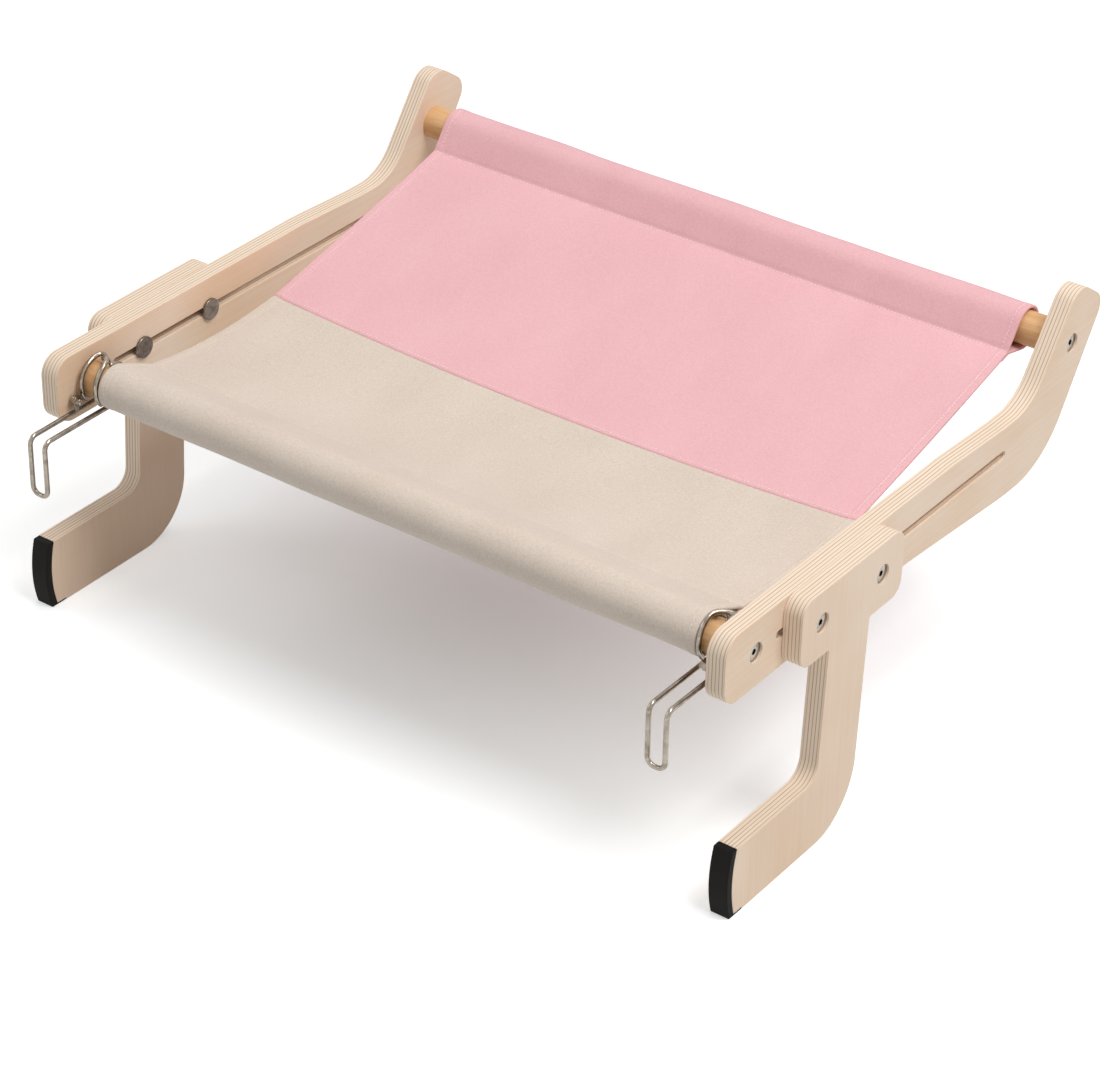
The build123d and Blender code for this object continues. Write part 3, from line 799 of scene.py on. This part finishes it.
def cloth_shell(path, seed, fold):
    """A closed cloth. The side-view path is repeated across the width, lowered by sag times
    one less the share of half the width squared, and moved along its normal by slow sine
    waves, which calm down near the ends, by puckers at the sewn fold and by the stitches'
    dent there. Its two faces stand off that surface, closer at the ends and further in the
    hems, and its side edges are half rounds."""
    inner = across_stations()
    x = np.concatenate([-inner, inner[::-1][1:]])
    y, z = path[:, 0], path[:, 1]
    along = np.concatenate([[0], np.cumsum(np.hypot(np.diff(y), np.diff(z)))])
    end_distance = np.minimum(along, along[-1] - along)
    share = x / half_width
    draws = np.random.default_rng(seed)
    waves = np.zeros((len(path), len(x)))
    for wave_length, height in slow_waves:
        for _ in range(3):
            turn, phase = draws.uniform(-0.9, 0.9), draws.uniform(0, 2 * pi)
            reach = x[None, :] * cos(turn) + along[:, None] * sin(turn)
            waves += height * np.sin(2 * pi * reach / wave_length + phase) / 3
    near = np.exp(-((along - fold) / fold_reach) ** 2)
    ripple = sum(
        np.sin(2 * pi * x / length + draws.uniform(0, 2 * pi)) for length in pucker_lengths)
    dent = stitch_dent * np.exp(-((along - fold) / dent_width) ** 2)
    crease = pucker_height * near[:, None] * ripple[None, :] / 4 - dent[:, None]
    calm = np.clip((end_distance - calm_start) / calm_run, 0, 1) * (1 - 0.8 * near)
    waves = waves * calm[:, None] * (1 - 0.6 * share[None, :] ** 8) + crease
    surface = np.stack([
        np.broadcast_to(x[None, :], waves.shape),
        np.broadcast_to(y[:, None], waves.shape),
        z[:, None] - sling_sag(y)[:, None] * (1 - share[None, :] ** 2),
    ], axis=-1)
    surface = surface + grid_normals(surface) * waves[..., None]
    out = grid_normals(surface)
    inset = half_width - np.abs(x)
    folded = np.clip((hem_width + 0.4 - inset) / 0.8, 0, 1)
    groove = groove_depth * np.exp(-((inset - stitch_inset) / groove_width) ** 2)
    top = hem_rise * folded - groove
    bottom = -cloth_thickness - hem_under_rise * folded
    fullness = np.sqrt(1 - np.clip(1 - end_distance / cloth_thickness, 0, 0.98) ** 2)
    middle = (top + bottom) / 2
    top_rows = middle[None, :] + (top - middle)[None, :] * fullness[:, None]
    bottom_rows = middle[None, :] + (bottom - middle)[None, :] * fullness[:, None]
    upper = surface + out * top_rows[..., None]
    lower = surface + out * bottom_rows[..., None]
    edge_angle = np.radians([60, 30, 0, -30, -60])
    rims = []
    for column, sign in ((0, -1), (-1, 1)):
        centre = (upper[:, column] + lower[:, column]) / 2
        half = (upper[:, column] - lower[:, column]) / 2
        bulge = np.minimum(np.linalg.norm(half, axis=1), edge_bulge)
        outward = np.array([sign * 1.0, 0, 0])
        rim = centre[:, None] + half[:, None] * np.sin(edge_angle)[None, :, None]
        rim = rim + outward * (np.cos(edge_angle)[None, :] * bulge[:, None])[..., None]
        rims.append(rim)
    loop = np.concatenate([upper, rims[1], lower[:, ::-1], rims[0][:, ::-1]], axis=1)
    return loop, upper, out, along, x


def cloth_piece(name, loop, along, material):
    """The closed cloth's mesh, with a map in metres: across the cloth and along its length."""
    rows, columns = loop.shape[:2]
    piece = place_mesh(
        name, loop.reshape(-1, 3) * mm, grid_faces(rows, columns).tolist(), material)
    mesh = piece.data
    corners = np.empty(len(mesh.loops), np.int32)
    mesh.loops.foreach_get("vertex_index", corners)
    spread = np.stack([loop[..., 0].ravel(), np.repeat(along, columns)], axis=1) * mm
    layer = mesh.uv_layers.new(name="cloth_metres")
    layer.uv.foreach_set("vector", spread[corners].astype(np.float32).ravel())
    work = bmesh.new()
    work.from_mesh(mesh)
    rims = [edge for edge in work.edges if edge.is_boundary]
    bmesh.ops.holes_fill(work, edges=rims, sides=0)
    bmesh.ops.triangulate(work, faces=[face for face in work.faces if len(face.verts) > 4])
    work.to_mesh(mesh)
    work.free()
    return piece


def brushed_cloth(name, light, deep):
    """Polyester suede cloth, woven, brushed and sheared: the eye sees a soft matt nap with
    mottling of 1.4 mm and brush strokes of 55 by 110 mm, paler where it turns away, over a
    plain weave of about 0.6 mm, drawn at 1.2 mm so that it shows. The weave is the sine of the
    turns across times the sine of the turns along."""
    weave_turn = 2 * pi / (1.2 * mm)
    material, tree, shader = new_finish(name)
    spread = add(tree, "UVMap", uv_map="cloth_metres")[0]
    place = add(tree, "TexCoord")["Object"]
    mottle = add(tree, "TexNoise", {
        "Vector": place, "Scale": 700.0, "Detail": 4.0, "Roughness": 0.65,
    })
    brushed = add(tree, "Mapping", {"Vector": spread, "Scale": (18.0, 9.0, 1.0)})
    strokes = add(tree, "TexNoise", {"Vector": brushed[0], "Scale": 1.0, "Detail": 3.0})
    blend = add(tree, "Math", {0: mottle["Fac"], 1: 0.75}, operation="MULTIPLY")
    blend = add(tree, "Math", {
        0: strokes["Fac"], 1: 0.25, 2: blend[0],
    }, operation="MULTIPLY_ADD")
    axes = add(tree, "SeparateXYZ", {0: spread})
    warp = add(tree, "Math", {0: axes["X"], 1: weave_turn}, operation="MULTIPLY")
    weft = add(tree, "Math", {0: axes["Y"], 1: weave_turn}, operation="MULTIPLY")
    warp = add(tree, "Math", {0: warp[0]}, operation="SINE")
    weft = add(tree, "Math", {0: weft[0]}, operation="SINE")
    weave = add(tree, "Math", {0: warp[0], 1: weft[0]}, operation="MULTIPLY")
    blend = add(tree, "Math", {0: weave[0], 1: 0.05, 2: blend[0]}, operation="MULTIPLY_ADD")
    spot = add(tree, "MapRange", {"Value": blend[0], "From Min": 0.3, "From Max": 0.7})
    tone = add(tree, "Mix", {0: spot[0], 6: shade(deep), 7: shade(light)}, data_type="RGBA")
    tree.links.new(tone[2], shader.inputs["Base Color"])
    height = add(tree, "Math", {
        0: weave[0], 1: 0.12, 2: mottle["Fac"],
    }, operation="MULTIPLY_ADD")
    relief = add(tree, "Bump", {"Height": height[0], "Strength": 0.35, "Distance": 0.25 * mm})
    tree.links.new(relief[0], shader.inputs["Normal"])
    shader.inputs["Roughness"].default_value = 0.92
    shader.inputs["IOR"].default_value = 1.46
    shader.inputs["Specular IOR Level"].default_value = 0.2
    shader.inputs["Sheen Weight"].default_value = 0.3
    shader.inputs["Sheen Roughness"].default_value = 0.45
    return material


def sewing_thread(name, tone, shadow):
    """Spun polyester thread, two plies twisted: the eye sees small glossy dashes, with a
    slanting twist whose bands repeat every 0.45 mm."""
    material, tree, shader = new_finish(name)
    place = add(tree, "TexCoord")["Object"]
    twist = add(tree, "TexWave", {
        "Vector": place, "Scale": 1400.0, "Distortion": 1.0,
    }, bands_direction="DIAGONAL")
    colour = add(tree, "Mix", {
        0: twist["Fac"], 6: shade(tone), 7: shade(shadow),
    }, data_type="RGBA")
    tree.links.new(colour[2], shader.inputs["Base Color"])
    shader.inputs["Roughness"].default_value = 0.6
    return material


dash_latitudes = np.radians([-72, -30, 30, 72])
dash_sides = 6


def stitch_row(points, out):
    """Thread dashes along a line: an ellipsoid at every pitch, long along the line, a little
    flattened and half sunk in the cloth."""
    along = length_along(points)
    at = np.arange(stitch_pitch, along[-1] - stitch_pitch, stitch_pitch)

    def read(values, where):
        return np.stack([np.interp(where, along, column) for column in values.T], axis=1)

    middle = read(points, at)
    ahead = read(points, at + 0.5) - read(points, at - 0.5)
    ahead /= np.linalg.norm(ahead, axis=1)[:, None]
    up = read(out, at)
    side = np.cross(ahead, up)
    longitude = np.arange(dash_sides) * 2 * pi / dash_sides
    girth = np.cos(dash_latitudes)
    template = np.stack([
        np.repeat(np.sin(dash_latitudes), dash_sides) * stitch_length / 2,
        np.outer(girth, np.cos(longitude)).ravel() * thread_radius,
        np.outer(girth, np.sin(longitude)).ravel() * thread_radius * thread_flatness,
    ], axis=1)
    dashes = middle[:, None] + template[None, :, :1] * ahead[:, None]
    return dashes + template[None, :, 1:2] * side[:, None] + template[None, :, 2:] * up[:, None]


def hem_stitches(upper, out, x, rows):
    """The rows of dashes down both side hems, over the given rows of the cloth's grid."""
    columns = [int(np.argmin(np.abs(x - sign * (half_width - stitch_inset)))) for sign in (-1, 1)]
    return [stitch_row(upper[rows, column], out[rows, column]) for column in columns]


def stitch_piece(name, rows, material):
    """All the dashes of one cloth as one mesh: each has its quads and a face at each end."""
    dashes = np.concatenate(rows)
    dash_points = len(dash_latitudes) * dash_sides
    first = np.arange(len(dashes))[:, None] * dash_points
    walls = grid_faces(len(dash_latitudes), dash_sides)[:, ::-1]
    quads = (walls[None] + first[..., None]).reshape(-1, 4).tolist()
    low = (np.arange(dash_sides)[None] + first).tolist()
    high = (np.arange(dash_points - dash_sides, dash_points)[::-1][None] + first).tolist()
    return place_mesh(name, dashes.reshape(-1, 3) * mm, quads + low + high, material)


front_loop = sleeve_path(front_centre, front_stitch)
front_lap = side_line(
    seat_stations, front_stitch[0] + lap_end, front_stitch[0] + lap_start, 9, 2 * cloth_thickness)
seat_y = np.linspace(front_stitch[0] + lap_start, seam[0] + seam_lap, 60)
seat_z = np.where(
    seat_y <= seam[0],
    through_three(seat_stations, seat_y, 1), through_three(back_stations, seat_y, 1))
tucked = np.clip((seat_y - tuck_start) / tuck_run, 0, 1)
seat_line = np.stack([seat_y, seat_z - tuck_depth * tucked**2 * (3 - 2 * tucked)], axis=1)
front_sleeve = np.concatenate([front_lap, front_loop])
seat_path = softened(even_steps(np.concatenate([front_sleeve, seat_line]), cloth_step), 3)
seat_fold = run_length(even_steps(front_sleeve, cloth_step))
loop, upper, out, along, x = cloth_shell(seat_path, 4, seat_fold)
beige = brushed_cloth("beige_suede_cloth", "#eaddd0", "#d4c2b2")
seat = cloth_piece("seat_cloth", loop, along, beige)
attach(seat, "hammock")
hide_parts("seat_panel")
beige_thread = sewing_thread("beige_thread", "#f4ecdf", "#ded0bd")
fold_row = int(np.argmin(np.abs(along - seat_fold)))
stitch_rows = hem_stitches(upper, out, x, slice(None, -6))
stitch_rows.append(stitch_row(upper[fold_row], out[fold_row]))
seat_stitches = stitch_piece("seat_stitches", stitch_rows, beige_thread)
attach(seat_stitches, "hammock")


# Back: the same cloth in pink, hemmed and sleeved in the same way on the rear dowel.
# Its front edge laps over the seat's rear edge, and one row of dashes joins them.
rear_centre = (442.0, 69.7)
rear_stitch = (417.0, 60.3)
rear_loop = sleeve_path(rear_centre, rear_stitch)
rear_lap = side_line(
    back_stations, rear_stitch[0] - lap_start, rear_stitch[0] - lap_end, 9, 2 * cloth_thickness)
back_line = side_line(back_stations, seam[0] - 1.0, rear_stitch[0] - lap_start, 80)
back_path = np.concatenate([back_line, rear_loop, rear_lap])
back_path = softened(even_steps(back_path, cloth_step), 3)
back_fold = run_length(back_line)
loop, upper, out, along, x = cloth_shell(back_path, 9, back_fold)
pink = brushed_cloth("pink_suede_cloth", "#f7c6ca", "#e9b0b5")
back = cloth_piece("back_cloth", loop, along, pink)
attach(back, "hammock")
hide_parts("back_panel")
pink_thread = sewing_thread("pink_thread", "#fdecec", "#f6d7d8")
fold_row = int(np.argmin(np.abs(along - back_fold)))
stitch_rows = hem_stitches(upper, out, x, slice(1, None))
stitch_rows.append(stitch_row(upper[fold_row], out[fold_row]))
stitch_rows.append(stitch_row(upper[2], out[2]))
back_stitches = stitch_piece("back_stitches", stitch_rows, pink_thread)
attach(back_stitches, "hammock")
